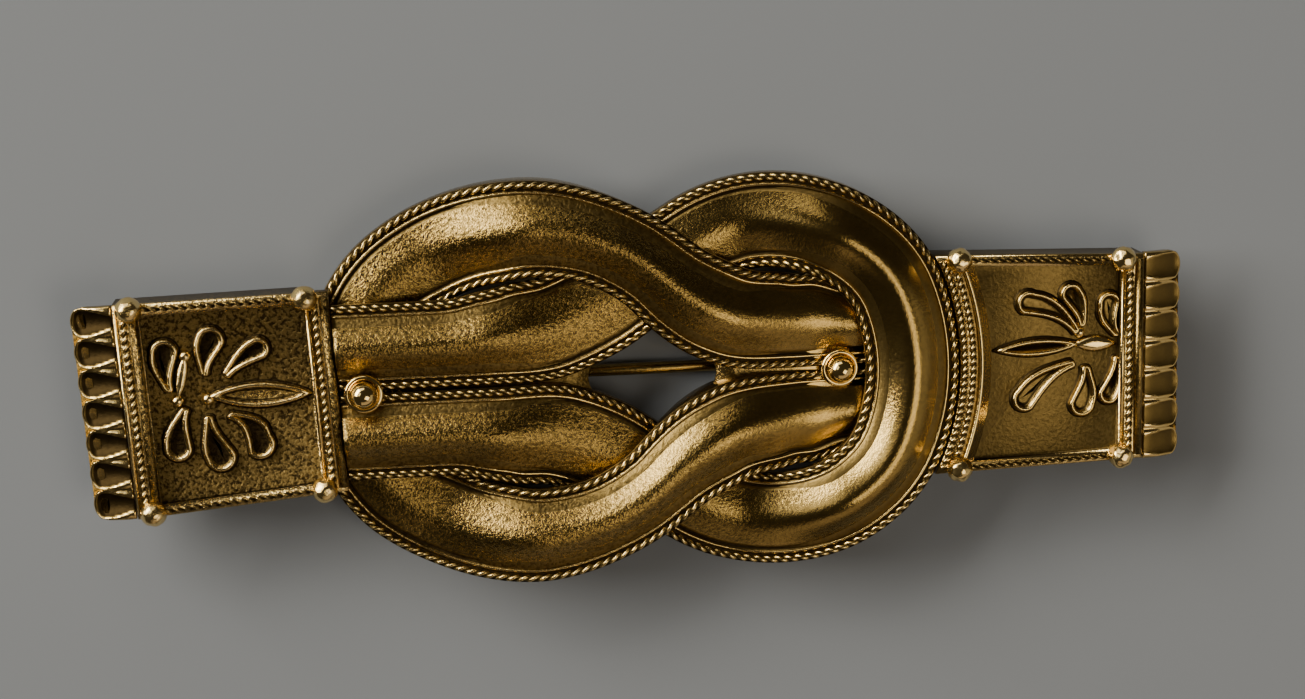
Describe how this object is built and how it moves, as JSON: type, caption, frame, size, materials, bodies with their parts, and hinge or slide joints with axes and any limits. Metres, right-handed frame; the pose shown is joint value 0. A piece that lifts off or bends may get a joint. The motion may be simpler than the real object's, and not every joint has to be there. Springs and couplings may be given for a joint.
{
  "type": "hercules knot brooch",
  "caption": "Gold-plated bar brooch with a hollow rope-edged hercules knot between two palmette plaques with fringes of fluted tongues.",
  "frame": {"origin": "under the middle of the whole brooch, on the surface that the pin's two cross bars rest on", "axes": "+X along the brooch towards the plaque beside the upper bight, +Y up the face as it is worn, +Z out of the face"},
  "size_m": [0.0758, 0.0276, 0.0064],
  "materials": {
    "band_gold": "matt granular gold plate with dark patina",
    "plaque_gold": "matt gold plate with rubbed bright relief and dark patina",
    "tongue_gold": "satin gold plate with rubbed rims",
    "stud_gold": "polished gold plate",
    "pin_gold": "smooth gold plate"
  },
  "bodies": {
    "root": {"left_loop": "band_gold", "right_loop": "band_gold", "left_plaque": "plaque_gold", "right_plaque": "plaque_gold", "left_tongue_border": "tongue_gold", "right_tongue_border": "tongue_gold", "left_knot_stud": "stud_gold", "right_knot_stud": "stud_gold", "pin": "pin_gold"}
  },
  "joints": []
}
